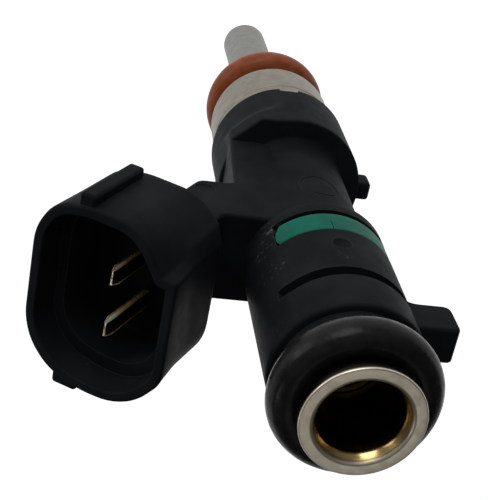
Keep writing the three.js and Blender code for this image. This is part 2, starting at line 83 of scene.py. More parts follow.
INLET_FACE = high("inlet_tube").z
FLANGE_RADIUS = high("inlet_tube").x
TUBE_BOTTOM = low("inlet_tube").z
BARREL_TOP = high("body_moulding").z
SKIRT_BOTTOM = low("body_moulding").z
LUG_END = low("body_moulding").x
RAIL_TOP = low("body_moulding").y
RIB_TOP = high("body_moulding").y
BAND_LOW = low("colour_band").z
BAND_HIGH = high("colour_band").z
BAND_RADIUS = high("colour_band").y
POT_BOTTOM = low("solenoid_pot").z
POT_TOP = high("solenoid_pot").z
POT_RADIUS = high("solenoid_pot").x
GUIDE_RADIUS = high("valve_body").x
GUIDE_TOP = high("valve_body").z
BLADE_WIDTH = high("terminal_lower").y - low("terminal_lower").y
BLADE_OFFSET = (high("terminal_lower").y + low("terminal_lower").y) / 2

# ---------- sizes of the moulded body ----------

BARREL_RADIUS = 6.8
PAD_RADIUS = 6.88               # the barrel's side towards the socket stands a little proud
PAD_HALF_ANGLE = 40
BARREL_BOTTOM = 63.3
COLLAR = 0.9                    # height of the narrower collar above the barrel, behind the seal
COLLAR_RADIUS = 6.1
WAIST_RADIUS = 5.55
SKIRT_RADIUS = 7.65
SKIRT_TOP = 46.1
# Sides of the skirt's two corners towards the web, each as two points of X and Y.
SKIRT_SIDES = (((7.2, 4.66), (7.2, 0)), ((4.3, 7.4), (7.2, 4.66)), ((-1.2, 7.5), (4.3, 7.4)))
SKIRT_CORNER = 9.0              # the corners' limit at the skirt's top, less START_INSIDE
START_INSIDE = 0.1              # how far inside the round skirt the corners start
CLIP_GROOVE = (75.3, 76.65, 5.9)        # bottom, top, radius
BAND_GROOVE = (64.9, 68.6, 6.0)
GROOVE_OUTSIDE = 9              # outer radius of the tools that cut the two grooves
GROOVE_END = PAD_HALF_ANGLE + 0.4       # degrees from +X at which the band's groove ends
CLIP_RUN_ON = 9                 # degrees by which the clip's groove runs further at each end
TUBE_BORE = 3.75
POT_BORE = 6.6
NECK_HALF_WIDTH = 4.6
NECK_FRONT = 63.65
NECK_REAR = 56.6
WEB_FACE = 7.9
WEB_FOOT = SKIRT_TOP - 0.6      # the web stands a little way into the skirt
WEB_FOOT_FACE = 7.25
NECK_ROOT = 2                   # X at which the neck and web start, inside the body
SQUARE_LUG = [
    (-5.6, 75.7), (LUG_END, 75.7, 0.6), (LUG_END, 71.6, 0.9), (-6.95, 71.6, 1.6),
    (-6.4, 69.2), (-5.6, 69.2),
]
SKIRT_LUG = [(-7, 45.3), (-9.2, 45.3, 0.5), (-9.2, 42.6, 0.5), (-7, 42.6)]
SQUARE_LUG_HALF_WIDTH = 1.8
SKIRT_LUG_HALF_WIDTH = 1

# The socket leans from +Z towards +X. Its own frame has its origin at the mouth's centre.
SOCKET_LEAN = math.radians(31.9)
SOCKET_MOUTH = Vector((20.5, 0, 75))
SOCKET_AXIS = Vector((math.sin(SOCKET_LEAN), 0, math.cos(SOCKET_LEAN)))
SOCKET_ACROSS = Vector((math.cos(SOCKET_LEAN), 0, -math.sin(SOCKET_LEAN)))
SOCKET_LENGTH = 9.6
SOCKET_DEPTH = 8.4
SOCKET_WALL = 0.95
SOCKET_TAPER = 5.5              # depth over which the mouth's outline turns into the rear's
LEDGE_DEPTH = 3.0
LEDGE_WIDTH = 0.95
HOLLOW_SHIFT = -0.35            # how far the deep hollow is off the middle, along Y
# Outline of the mouth, counter-clockwise: across, along Y, corner radius. A corner of SMOOTH radius
# is rounded from the middle of one side to the middle of the next.
SMOOTH = 20
MOUTH_OUTLINE = [
    (7.25, 3.6, SMOOTH), (6.4, 5.9, SMOOTH), (4.4, 7.9, SMOOTH), (1.2, 8.75, SMOOTH),
    (-2.1, 8.65, SMOOTH), (-4.6, 7.4, SMOOTH), (-6.66, 4.7, 3.0), (-6.66, -5.2, 0.35),
    (-5.3, -5.2, 0.35), (-3.5, -7.8, SMOOTH), (-1.6, -8.8, SMOOTH), (2.4, -8.9, SMOOTH),
    (5.4, -8.2, SMOOTH), (7.15, -5.4, SMOOTH),
]
# The rear of the shell has a slope in place of the mouth's step, and is a little narrower.
REAR_OUTLINE = [
    (7.0, 3.4, SMOOTH), (6.2, 5.7, SMOOTH), (4.3, 7.7, SMOOTH), (1.2, 8.55, SMOOTH),
    (-2.1, 8.5, SMOOTH), (-4.5, 7.3, SMOOTH), (-6.15, 4.7, SMOOTH), (-6.15, -4.9, 1.4),
    (-5.55, -6.7, 1.4), (-4.2, -8.1, SMOOTH), (-2.3, -8.9, SMOOTH), (2.4, -9.0, SMOOTH),
    (5.3, -8.2, SMOOTH), (6.95, -5.4, SMOOTH),
]


# ---------- outlines ----------

def rounded(corners, steps=5):
    """Closed outline from corners (a, b, radius). A corner with a radius gives steps + 1 points."""
    points = []
    count = len(corners)
    nearly_straight = math.radians(89)
    side_share = 0.48               # most of a side that the curve of one corner may use
    for i, (a, b, *rest) in enumerate(corners):
        radius = rest[0] if rest else 0
        here = Vector((a, b))
        if radius <= 0:
            points.append(here)
            continue
        back = Vector(corners[i - 1][:2]) - here
        ahead = Vector(corners[(i + 1) % count][:2]) - here
        half = min(back.angle(ahead) / 2, nearly_straight)
        reach = min(
            radius / math.tan(half), side_share * back.length, side_share * ahead.length,
        )
        start = here + back.normalized() * reach
        end = here + ahead.normalized() * reach
        for k in range(steps + 1):
            t = k / steps
            points.append(start * (1 - t) ** 2 + here * 2 * t * (1 - t) + end * t ** 2)
    return points


def inset(corners, distance):
    """The same counter-clockwise corners, moved inwards."""
    least_radius = 0.15
    moved = []
    count = len(corners)
    for i, (a, b, *rest) in enumerate(corners):
        here = Vector((a, b))
        before = (here - Vector(corners[i - 1][:2])).normalized()
        after = (Vector(corners[(i + 1) % count][:2]) - here).normalized()
        side = Vector((-before.y, before.x))
        inward = (side + Vector((-after.y, after.x))).normalized()
        spot = here + inward * distance / inward.dot(side)
        radius = rest[0] if rest else 0
        if radius:
            convex = before.x * after.y - before.y * after.x > 0
            radius = max(radius - distance, least_radius) if convex else radius + distance
        moved.append((spot.x, spot.y, radius))
    return moved


def smoothstep(value):
    value = min(max(value, 0), 1)
    return value * value * (3 - 2 * value)


# ---------- meshes ----------

def quads_between(bm, rings, wrap):
    """Faces between neighbouring rings. A ring of one vertex is a point on the axis."""
    pairs = zip(rings, rings[1:] + rings[:1]) if wrap else zip(rings, rings[1:])
    for here, following in pairs:
        count = max(len(here), len(following))
        for i in range(count):
            j = (i + 1) % count
            corners = [
                here[i % len(here)], here[j % len(here)],
                following[j % len(following)], following[i % len(following)],
            ]
            corners = list(dict.fromkeys(corners))
            if len(corners) > 2:
                bm.faces.new(corners)


def lathe(outline, sides=ROUND):
    """Solid of revolution about Z from a closed outline of radius and height."""
    bm = bmesh.new()
    rings = []
    for radius, height in outline:
        if radius < TINY:
            rings.append([bm.verts.new((0, 0, height))])
            continue
        rings.append([
            bm.verts.new((
                radius * math.cos(2 * math.pi * (i + OFF_AXIS) / sides),
                radius * math.sin(2 * math.pi * (i + OFF_AXIS) / sides), height,
            )) for i in range(sides)
        ])
    quads_between(bm, rings, True)
    bmesh.ops.recalc_face_normals(bm, faces=bm.faces)
    return bm


def loft(sections, closed=False):
    """Skin over rings with the same count of points, with caps unless it closes on itself."""
    bm = bmesh.new()
    rings = [[bm.verts.new(point) for point in section] for section in sections]
    quads_between(bm, rings, closed)
    if not closed:
        bm.faces.new(rings[0])
        bm.faces.new(rings[-1])
    bmesh.ops.recalc_face_normals(bm, faces=bm.faces)
    return bm


def quarter(steps):
    """Angles from 0 to a quarter turn."""
    return [math.pi / 2 * k / steps for k in range(steps + 1)]


def edge_levels(low_end, high_end, radius):
    """Height and inset of each section of a prism whose two ends have round edges."""
    arc = quarter(EDGE_STEPS)
    bottom = [
        (low_end + radius * (1 - math.cos(a)), radius * (1 - math.sin(a))) for a in arc
    ]
    top = [
        (high_end - radius * (1 - math.cos(a)), radius * (1 - math.sin(a)))
        for a in reversed(arc)
    ]
    return bottom + top


def prism(corners, low_end, high_end, place, edge):
    """Prism of an outline with round edges. place turns (a, b, height) into a point."""
    return loft([
        [place(p.x, p.y, height) for p in rounded(inset(corners, depth))]
        for height, depth in edge_levels(low_end, high_end, edge)
    ])


def block(low_corner, high_corner, edge, place=None):
    """Box with round edges."""
    size = Vector(high_corner) - Vector(low_corner)
    middle = (Vector(high_corner) + Vector(low_corner)) / 2
    bm = bmesh.new()
    bmesh.ops.create_cube(bm, size=1)
    bmesh.ops.scale(bm, vec=size, verts=bm.verts)
    bmesh.ops.translate(bm, vec=middle, verts=bm.verts)
    bmesh.ops.bevel(bm, geom=bm.edges[:], offset=edge, segments=3, profile=0.5, affect="EDGES")
    if place:
        for vertex in bm.verts:
            vertex.co = place(*vertex.co)
    bmesh.ops.recalc_face_normals(bm, faces=bm.faces)
    return bm


def ring_sector(outline, start, end, steps):
    """Part of a ring about Z. start and end give the angle in degrees at each height."""
    sections = []
    for i in range(steps + 1):
        share = i / steps
        section = []
        for radius, height in outline:
            angle = math.radians(start(height) + (end(height) - start(height)) * share)
            section.append((radius * math.cos(angle), radius * math.sin(angle), height))
        sections.append(section)
    return loft(sections)


def into_side(bm, angle, height):
    """Lays a tool made along Z on its side, to enter the body at an angle in degrees from +X."""
    turn = Matrix.Rotation(math.radians(angle), 4, "Z") @ Matrix.Rotation(math.pi / 2, 4, "Y")
    bmesh.ops.transform(bm, matrix=Matrix.Translation((0, 0, height)) @ turn, verts=bm.verts)
    return bm


def side_drill(radius, angle, height, near, far):
    """Round tool that enters the side of the body along a radius."""
    bm = lathe([(0, near), (radius, near), (radius, far), (0, far)], TOOL_SIDES)
    return into_side(bm, angle, height)


def side_dish(radius, angle, height, body_radius, depth):
    """Tool for a shallow round dish in the side of a round body."""
    bend = (radius ** 2 + depth ** 2) / (2 * depth)
    sweep = math.asin(radius / bend)
    steps = 6
    outline = []
    for k in range(steps + 1):
        turn = sweep * k / steps
        outline.append((bend * math.sin(turn), body_radius - depth + bend * (1 - math.cos(turn))))
    outline += [(radius, body_radius + BEYOND), (0, body_radius + BEYOND)]
    return into_side(lathe(outline, TOOL_SIDES), angle, height)


def ring_groove(angle, height, radius, body_radius, half_width, depth):
    """Tool for a thin round groove on the side of a round body, about a point on that side."""
    steps = 72
    mouth = 0.3
    flat = 0.4 * half_width
    profile = (
        (-half_width, mouth), (-half_width, 0), (-flat, -depth), (flat, -depth),
        (half_width, 0), (half_width, mouth),
    )
    sections = []
    for i in range(steps):
        turn = 2 * math.pi * (i + OFF_AXIS) / steps
        section = []
        for across, out in profile:
            around = math.radians(angle) + (radius + across) * math.cos(turn) / body_radius
            reach = body_radius + out
            rise = (radius + across) * math.sin(turn)
            section.append((reach * math.cos(around), reach * math.sin(around), height + rise))
        sections.append(section)
    return loft(sections, closed=True)


def upright(x, z, y):
    """Places a prism whose outline is in X and Z."""
    return Vector((x, y, z))


def in_socket(across, along, height):
    """Places a point of the socket's own frame, where along is Y and the mouth is at height 0."""
    return SOCKET_MOUTH + SOCKET_ACROSS * across + Vector((0, along, 0)) + SOCKET_AXIS * height


def to_object(bm, name="tool"):
    mesh = bpy.data.meshes.new(name)
    bm.to_mesh(mesh)
    bm.free()
    made = bpy.data.objects.new(name, mesh)
    bpy.context.scene.collection.objects.link(made)
    return made


def combine(target, operation, *tools):
    """Joins tools to the target, or cuts them from it."""
    for tool in tools:
        other = to_object(tool)
        modifier = target.modifiers.new("combine", "BOOLEAN")
        modifier.operation = operation
        modifier.solver = "EXACT"
        modifier.object = other
        bpy.context.view_layer.update()
        evaluated = target.evaluated_get(bpy.context.evaluated_depsgraph_get())
        mesh = bpy.data.meshes.new_from_object(evaluated)
        target.modifiers.clear()
        target.data = mesh
        bpy.data.objects.remove(other)
    return target


def complete(made, name, material, body, slot, *nodes, sharp=38):
    """Scales a shape to metres, shades it, and ties it to the frame."""
    made.name = name
    bm = bmesh.new()
    bm.from_mesh(made.data)
    bmesh.ops.remove_doubles(bm, verts=bm.verts, dist=WELD)
    bmesh.ops.dissolve_degenerate(bm, dist=SLIVER, edges=bm.edges)
    bmesh.ops.scale(bm, vec=(MM, MM, MM), verts=bm.verts)
    for face in bm.faces:
        face.smooth = True
    for edge in bm.edges:
        edge.smooth = len(edge.link_faces) != 2 or edge.calc_face_angle() < math.radians(sharp)
    made.data.clear_geometry()
    bm.to_mesh(made.data)
    bm.free()
    made.data.materials.clear()
    made.data.materials.append(material)
    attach(made, body)
    if nodes:
        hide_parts(*nodes)
    even = made.modifiers.new("even_shading", "WEIGHTED_NORMAL")
    even.keep_sharp = True
    return made


# ---------- materials ----------

class Finish:
    """A procedural material, in millimetres of the object's own coordinates."""

    def __init__(self, name, metallic=0.0):
        self.material = bpy.data.materials.new(name)
        self.material.use_nodes = True
        self.tree = self.material.node_tree
        self.shader = self.tree.nodes["Principled BSDF"]
        self.shader.inputs["Metallic"].default_value = metallic
        coordinates = self.tree.nodes.new("ShaderNodeTexCoord")
        scale = self.tree.nodes.new("ShaderNodeMapping")
        scale.inputs["Scale"].default_value = (1 / MM, 1 / MM, 1 / MM)
        self.link(coordinates.outputs["Object"], scale.inputs["Vector"])
        self.place = scale.outputs["Vector"]
        self.own_normal = coordinates.outputs["Normal"]
        self.normal = None

    def link(self, output, socket):
        self.tree.links.new(output, socket)

    def noise(self, scale, detail, rough=0.55, vector=None):
        node = self.tree.nodes.new("ShaderNodeTexNoise")
        node.inputs["Scale"].default_value = scale
        node.inputs["Detail"].default_value = detail
        node.inputs["Roughness"].default_value = rough
        self.link(vector or self.place, node.inputs["Vector"])
        return node.outputs["Fac"]

    def height(self):
        parts = self.tree.nodes.new("ShaderNodeSeparateXYZ")
        self.link(self.place, parts.inputs[0])
        return parts.outputs["Z"]

    def radius(self):
        """Distance from the injector's axis."""
        flat = self.tree.nodes.new("ShaderNodeVectorMath")
        flat.operation = "MULTIPLY"
        flat.inputs[1].default_value = (1, 1, 0)
        self.link(self.place, flat.inputs[0])
        length = self.tree.nodes.new("ShaderNodeVectorMath")
        length.operation = "LENGTH"
        self.link(flat.outputs[0], length.inputs[0])
        return length.outputs["Value"]

    def turned(self):
        """Coordinates that are the same all the way round, for marks left by turning."""
        joined = self.tree.nodes.new("ShaderNodeCombineXYZ")
        self.link(self.radius(), joined.inputs["X"])
        self.link(self.height(), joined.inputs["Y"])
        return joined.outputs[0]

    def math(self, operation, a, b=None):
        node = self.tree.nodes.new("ShaderNodeMath")
        node.operation = operation
        for socket, value in zip(node.inputs, (a, b)):
            if value is None:
                continue
            if isinstance(value, (int, float)):
                socket.default_value = value
            else:
                self.link(value, socket)
        return node.outputs[0]

    def spread(self, value, from_low, from_high, to_low, to_high):
        node = self.tree.nodes.new("ShaderNodeMapRange")
        node.interpolation_type = "SMOOTHSTEP"
        for name, number in (
            ("From Min", from_low), ("From Max", from_high),
            ("To Min", to_low), ("To Max", to_high),
        ):
            node.inputs[name].default_value = number
        self.link(value, node.inputs["Value"])
        return node.outputs["Result"]

    def mix(self, share, a, b):
        node = self.tree.nodes.new("ShaderNodeMix")
        node.data_type = "RGBA"
        self.link(share, node.inputs["Factor"])
        for name, value in (("A", a), ("B", b)):
            socket = [s for s in node.inputs if s.name == name and s.type == "RGBA"][0]
            if isinstance(value, tuple):
                socket.default_value = (*value, 1)
            else:
                self.link(value, socket)
        return [s for s in node.outputs if s.type == "RGBA"][0]

    def bump(self, height, strength, distance):
        node = self.tree.nodes.new("ShaderNodeBump")
        node.inputs["Strength"].default_value = strength
        node.inputs["Distance"].default_value = distance * MM
        self.link(height, node.inputs["Height"])
        if self.normal:
            self.link(self.normal, node.inputs["Normal"])
        self.normal = node.outputs["Normal"]
        self.link(self.normal, self.shader.inputs["Normal"])

    def near(self, point, reach):
        """1 at a point, falling to 0 at a distance in millimetres."""
        node = self.tree.nodes.new("ShaderNodeVectorMath")
        node.operation = "DISTANCE"
        node.inputs[1].default_value = point
        self.link(self.place, node.inputs[0])
        return self.spread(node.outputs["Value"], 0.35 * reach, reach, 1, 0)

    def edges(self, reach=0.1):
        """1 on edges and 0 on flat and gently curved faces."""
        geometry = self.tree.nodes.new("ShaderNodeNewGeometry")
        blurred = self.tree.nodes.new("ShaderNodeBevel")
        blurred.samples = 6
        blurred.inputs["Radius"].default_value = reach * MM
        likeness = self.tree.nodes.new("ShaderNodeVectorMath")
        likeness.operation = "DOT_PRODUCT"
        self.link(geometry.outputs["Normal"], likeness.inputs[0])
        self.link(blurred.outputs["Normal"], likeness.inputs[1])
        return self.spread(likeness.outputs["Value"], 0.93, 0.995, 1, 0)

    def color(self, output):
        self.link(output, self.shader.inputs["Base Color"])

    def roughness(self, output):
        self.link(output, self.shader.inputs["Roughness"])

    def set(self, **values):
        for name, value in values.items():
            self.shader.inputs[name.replace("_", " ")].default_value = value


def on_barrel(angle, height, radius=BARREL_RADIUS):
    return (
        radius * math.cos(math.radians(angle)), radius * math.sin(math.radians(angle)), height,
    )


def moulded_plastic():
    """Black plastic with paler edges, partly edge wear and partly a painted highlight, and, in a
    few places, pale scuffs.
    """
    finish = Finish("moulded_plastic")
    cloud = finish.spread(finish.noise(0.25, 3), 0.3, 0.7, 0, 1)
    grain = finish.noise(9, 3, 0.6)
    base = finish.mix(cloud, (0.0062, 0.0070, 0.0078), (0.0092, 0.0104, 0.0114))
    # Paler edges: partly edge wear, partly a painted highlight along the edges.
    base = finish.mix(finish.math("MULTIPLY", finish.edges(0.08), 0.6), base, (0.04, 0.044, 0.047))
    # Centre, reach and the noise value about which a scuff begins.
    places = (
        (on_barrel(-37, 65.0, 6.9), 1.8, 0.58), (on_barrel(-31, 67.5, 6.9), 2.6, 0.60),
        (on_barrel(-33, 71.5, 6.9), 2.4, 0.62), (on_barrel(-88, 73.3), 0.9, 0.60),
        (on_barrel(-125, 73.0), 2.6, 0.66), (on_barrel(-28, 79.5, 6.9), 2.2, 0.64),
        # This place lies on the ledge inside the socket and lays pale specks over it.
        ((19.5, 7.0, 72.0), 3.4, 0.68),
    )
    scuffs = None
    for point, reach, density in places:
        speck = finish.spread(finish.noise(1.7, 6, 0.75), density - 0.06, density + 0.12, 0, 1)
        spot = finish.math("MULTIPLY", speck, finish.near(point, reach))
        scuffs = spot if scuffs is None else finish.math("MAXIMUM", scuffs, spot)
    base = finish.mix(finish.math("MULTIPLY", scuffs, 0.16), base, (0.5, 0.5, 0.49))
    finish.color(base)
    rough = finish.spread(finish.noise(0.8, 4), 0.3, 0.7, 0.42, 0.5)
    finish.roughness(finish.math("ADD", rough, finish.math("MULTIPLY", scuffs, 0.2)))
    finish.bump(grain, 0.25, 0.02)
    finish.set(Specular_IOR_Level=0.008)
    return finish.material


def band_plastic():
    finish = Finish("band_plastic")
    cloud = finish.spread(finish.noise(0.5, 3), 0.3, 0.7, 0, 1)
    base = finish.mix(cloud, (0.0008, 0.07, 0.046), (0.001, 0.09, 0.06))
    # Lighter edges: partly edge wear, partly a painted highlight.
    base = finish.mix(finish.math("MULTIPLY", finish.edges(), 0.4), base, (0.02, 0.2, 0.13))
    finish.color(base)
    finish.roughness(finish.spread(finish.noise(2.5, 4), 0.3, 0.7, 0.38, 0.5))
    finish.bump(finish.noise(8, 3), 0.2, 0.02)
    finish.set(Specular_IOR_Level=0.03)
    return finish.material


def rubber(name, dark, light, rough_low, rough_high):
    finish = Finish(name)
    cloud = finish.noise(0.6, 4)
    finish.color(finish.mix(finish.spread(cloud, 0.3, 0.72, 0, 1), dark, light))
    film = finish.noise(1.4, 5, 0.6)
    finish.roughness(finish.spread(film, 0.35, 0.7, rough_low, rough_high))
    finish.bump(finish.noise(5, 4, 0.6), 0.22, 0.03)
    finish.bump(finish.noise(0.7, 2), 0.35, 0.12)
    finish.set(Specular_IOR_Level=0.1)
    return finish.material


def turned_metal(name, dark, light, rough_low, rough_high, grain=0.35, stains_and_painted_shade=(), polish=None):
    """Metal turned on a lathe: fine marks round the axis, cloudy tone and brighter edges, partly
    edge wear and partly a painted highlight.

    Each stain or patch of painted shade is a colour, the two heights that it fades between, and the
    radius it stays within.
    polish gives the two heights between which the surface turns from polished to plain.
    """
    finish = Finish(name, 1.0)
    marks = finish.noise(14, 2, 0.5, finish.turned())
    cloud = finish.spread(finish.noise(0.8, 5, 0.6), 0.3, 0.7, 0, 1)
    bright = tuple(min(1, 1.25 * c) for c in light)
    base = finish.mix(cloud, dark, light)
    # Brighter edges: partly edge wear, partly a painted highlight.
    base = finish.mix(finish.math("MULTIPLY", finish.edges(), 0.5), base, bright)
    for colour, depth_low, depth_high, radius in stains_and_painted_shade:
        inside = finish.spread(finish.radius(), radius, radius + 0.3, 1, 0)
        deep = finish.spread(finish.height(), depth_low, depth_high, 1, 0)
        base = finish.mix(finish.math("MULTIPLY", inside, deep), base, colour)
    speck = finish.spread(finish.noise(2.6, 6, 0.7), 0.66, 0.72, 0, 0.5)
    base = finish.mix(speck, base, tuple(0.35 * c for c in dark))
    finish.color(base)
    rough = finish.spread(marks, 0.3, 0.7, rough_low, rough_high)
    smear = finish.spread(finish.noise(1.2, 4), 0.4, 0.8, 0, 0.12)
    rough = finish.math("ADD", rough, smear)
    if polish:
        rough = finish.math("MULTIPLY", rough, finish.spread(finish.height(), *polish, 0.55, 1))
    finish.roughness(rough)
    finish.bump(marks, grain, 0.012)
    return finish.material


def plain_plastic(name, dark, light):
    finish = Finish(name)
    pale = tuple(2 * c for c in light)
    base = finish.mix(finish.spread(finish.noise(0.7, 4), 0.3, 0.7, 0, 1), dark, light)
    # Paler edges: partly edge wear, partly a painted highlight.
    finish.color(finish.mix(finish.math("MULTIPLY", finish.edges(), 0.4), base, pale))
    finish.roughness(finish.spread(finish.noise(1.5, 4), 0.3, 0.7, 0.4, 0.6))
    finish.bump(finish.noise(9, 3), 0.25, 0.02)
    return finish.material


def plated_blade():
    """Gold-coloured plating with draw marks, painted paler at the tip as a highlight, and painted
    shade on the broad faces.
    """
    finish = Finish("blade_plating", 0.55)
    stretch = finish.tree.nodes.new("ShaderNodeMapping")
    stretch.inputs["Rotation"].default_value = (0, -SOCKET_LEAN, 0)
    stretch.inputs["Scale"].default_value = (1, 1, 0.12)
    finish.link(finish.place, stretch.inputs["Vector"])
    marks = finish.noise(6, 3, 0.6, stretch.outputs["Vector"])
    cloud = finish.noise(0.8, 4)
    patches = finish.spread(cloud, 0.35, 0.65, 0, 1)
    base = finish.mix(patches, (0.62, 0.40, 0.15), (0.80, 0.60, 0.30))
    # Painted highlight: the blades are painted paler towards their tips.
    painted_tip_highlight = finish.near(tuple(in_socket(0, 0, -0.2)), 4.6)
    base = finish.mix(painted_tip_highlight, base, (0.95, 0.88, 0.72))
    # Painted shade: faces that look across the socket are darkened nearly to black.
    facing = finish.tree.nodes.new("ShaderNodeVectorMath")
    facing.operation = "DOT_PRODUCT"
    facing.inputs[1].default_value = SOCKET_ACROSS
    finish.link(finish.own_normal, facing.inputs[0])
    broad = finish.spread(finish.math("ABSOLUTE", facing.outputs["Value"]), 0.75, 0.95, 0, 1)
    painted_face_shade = finish.mix(cloud, (0.012, 0.009, 0.006), (0.035, 0.024, 0.013))
    finish.color(finish.mix(broad, base, painted_face_shade))
    finish.roughness(finish.spread(marks, 0.3, 0.7, 0.26, 0.36))
    return finish.material


def woven_filter():
    """Fine woven nylon, made by two crossed waves."""
    finish = Finish("filter_weave")
    waves = []
    for direction in ("X", "Z"):
        wave = finish.tree.nodes.new("ShaderNodeTexWave")
        wave.wave_type = "BANDS"
        wave.bands_direction = direction
        wave.inputs["Scale"].default_value = 3.2
        wave.inputs["Distortion"].default_value = 0.4
        finish.link(finish.place, wave.inputs["Vector"])
        waves.append(wave.outputs["Fac"])
    weave = finish.math("MAXIMUM", *waves)
    finish.color(finish.mix(weave, (0.10, 0.075, 0.04), (0.42, 0.34, 0.2)))
    finish.roughness(finish.spread(weave, 0, 1, 0.7, 0.45))
    finish.bump(weave, 0.6, 0.05)
    return finish.material


def wound_copper():
    """Enamelled wire laid in close turns."""
    finish = Finish("copper_wire", 1.0)
    wave = finish.tree.nodes.new("ShaderNodeTexWave")
    wave.wave_type = "BANDS"
    wave.bands_direction = "Z"
    wave.inputs["Scale"].default_value = 1.6
    finish.link(finish.place, wave.inputs["Vector"])
    finish.color(finish.mix(finish.noise(0.9, 4), (0.42, 0.13, 0.045), (0.62, 0.25, 0.1)))
    finish.roughness(finish.spread(wave.outputs["Fac"], 0, 1, 0.45, 0.22))
    finish.bump(wave.outputs["Fac"], 0.5, 0.06)
    return finish.material


# ---------- moulded body ----------

def skirt_reach(angle, height):
    """Radius of the skirt, which grows two corners towards the web."""
    direction = Vector((math.cos(angle), abs(math.sin(angle))))
    reach = math.inf
    for first, second in SKIRT_SIDES:
        a, b = Vector(first), Vector(second)
        normal = Vector((b.y - a.y, a.x - b.x)).normalized()
        if normal.dot(a) < 0:
            normal.negate()
        facing = normal.dot(direction)
        if facing > TINY:
            reach = min(reach, normal.dot(a) / facing)
    flare_bottom, flare_length = 41.0, SKIRT_TOP - 41.5
    last_cosine = -0.15             # there are no corners further round than this
    grown = smoothstep((height - flare_bottom) / flare_length)
    growth = SKIRT_RADIUS - START_INSIDE + (SKIRT_CORNER - SKIRT_RADIUS) * grown
    corner = min(reach, growth) if direction.x > last_cosine else 0
    blend = 0.3                     # distance over which a corner runs into the round skirt
    gap = (corner - SKIRT_RADIUS) / blend
    if gap >= 1:
        return corner
    if gap <= -1:
        return SKIRT_RADIUS
    return SKIRT_RADIUS + blend * (gap + 1) ** 2 / 4


def pad_reach(angle, _height):
    """Radius of the barrel, which is larger towards the socket."""
    degrees = abs(math.degrees(math.atan2(math.sin(angle), math.cos(angle))))
    return BARREL_RADIUS + (PAD_RADIUS - BARREL_RADIUS) * smoothstep(PAD_HALF_ANGLE + 1 - degrees)


def body_core():
    """Skirt, waist and barrel, from the skirt's open end up to the barrel's top."""
    cuff, step, shoulder, crown = 0.35, 0.22, 0.22, 0.3     # radii of the round outer edges
    waist_foot, waist_head = 0.45, 0.2                      # radii of the waist's two fillets
    skirt_steps, waist_steps, barrel_steps = 18, 26, 28
    margin = 1                      # between a fillet and the straight stretch beside it
    edge = BARREL_TOP - COLLAR

    def waist(_angle, _height):
        return WAIST_RADIUS

    def collar(_angle, _height):
        return COLLAR_RADIUS

    def curve(height, reach, radius, up, out):
        """Levels of a round edge above or below a height, outside or inside the reach."""
        arc = quarter(ARC_STEPS)
        return [
            (height + up * radius * (1 - math.cos(a)), reach, out * radius * (1 - math.sin(a)))
            for a in (arc if up > 0 else reversed(arc))
        ]

    def stretch(bottom, length, reach, steps):
        return [(bottom + length * k / steps, reach, 0) for k in range(steps + 1)]

    skirt_length = SKIRT_TOP - step - SKIRT_BOTTOM - cuff
    waist_length = BARREL_BOTTOM - SKIRT_TOP - 2 * margin
    barrel_length = edge - BARREL_BOTTOM - 2 * margin
    levels = [
        (SKIRT_BOTTOM, None, 0),
        *curve(SKIRT_BOTTOM, skirt_reach, cuff, 1, -1),
        *stretch(SKIRT_BOTTOM + cuff, skirt_length, skirt_reach, skirt_steps)[1:-1],
        *curve(SKIRT_TOP, skirt_reach, step, -1, -1),
        *curve(SKIRT_TOP, waist, waist_foot, 1, 1),
        *stretch(SKIRT_TOP + margin, waist_length, waist, waist_steps),
        *curve(BARREL_BOTTOM, waist, waist_head, -1, 1),
        *curve(BARREL_BOTTOM, pad_reach, shoulder, 1, -1),
        *stretch(BARREL_BOTTOM + margin, barrel_length, pad_reach, barrel_steps),
        *curve(edge, pad_reach, crown, -1, -1),
        (edge, collar, 0), (BARREL_TOP, collar, 0), (BARREL_TOP, None, 0),
    ]
    bm = bmesh.new()
    rings = []
    for height, reach, extra in levels:
        if reach is None:
            rings.append([bm.verts.new((0, 0, height))])
            continue
        ring = []
        for i in range(ROUND):
            angle = 2 * math.pi * (i + 0.5 * OFF_AXIS) / ROUND
            radius = reach(angle, height) + extra
            ring.append(bm.verts.new((
                radius * math.cos(angle), radius * math.sin(angle), height,
            )))
        rings.append(ring)
    quads_between(bm, rings, False)
    bmesh.ops.recalc_face_normals(bm, faces=bm.faces)
    return bm


def web_and_neck():
    """One prism: the web up the waist, and the neck that leans out to the socket's rear."""
    overlap = 0.9                   # how far the neck runs into the socket's shell
    front_across, rear_across = -3.3, 2.0

    def shell_rear(across):
        point = in_socket(across, 0, overlap - SOCKET_LENGTH)
        return point.x, point.z

    front_x, front_z = shell_rear(front_across)
    rear_x, rear_z = shell_rear(rear_across)
    slope = math.tan(SOCKET_LEAN)
    front_elbow = front_x + (NECK_FRONT - front_z) * slope
    rear_elbow = rear_x + (NECK_REAR - rear_z) * slope
    corners = [
        (NECK_ROOT, WEB_FOOT), (WEB_FOOT_FACE, WEB_FOOT), (WEB_FACE, NECK_REAR, 0.9),
        (rear_elbow, NECK_REAR, 1.4), (rear_x, rear_z), (front_x, front_z),
        (front_elbow, NECK_FRONT, 1.0), (NECK_ROOT, NECK_FRONT),
    ]
    return prism(corners, -NECK_HALF_WIDTH, NECK_HALF_WIDTH, upright, 0.35)


def socket_section(height, distance, shift=0):
    """Points of the socket's outline at a height, moved inwards by a distance."""
    share = smoothstep(-height / SOCKET_TAPER)
    corners = [
        tuple(a + (b - a) * share for a, b in zip(mouth, rear))
        for mouth, rear in zip(MOUTH_OUTLINE, REAR_OUTLINE)
    ]
    outline = rounded(inset(corners, distance), 6)
    return [in_socket(p.x, p.y + shift, height) for p in outline]


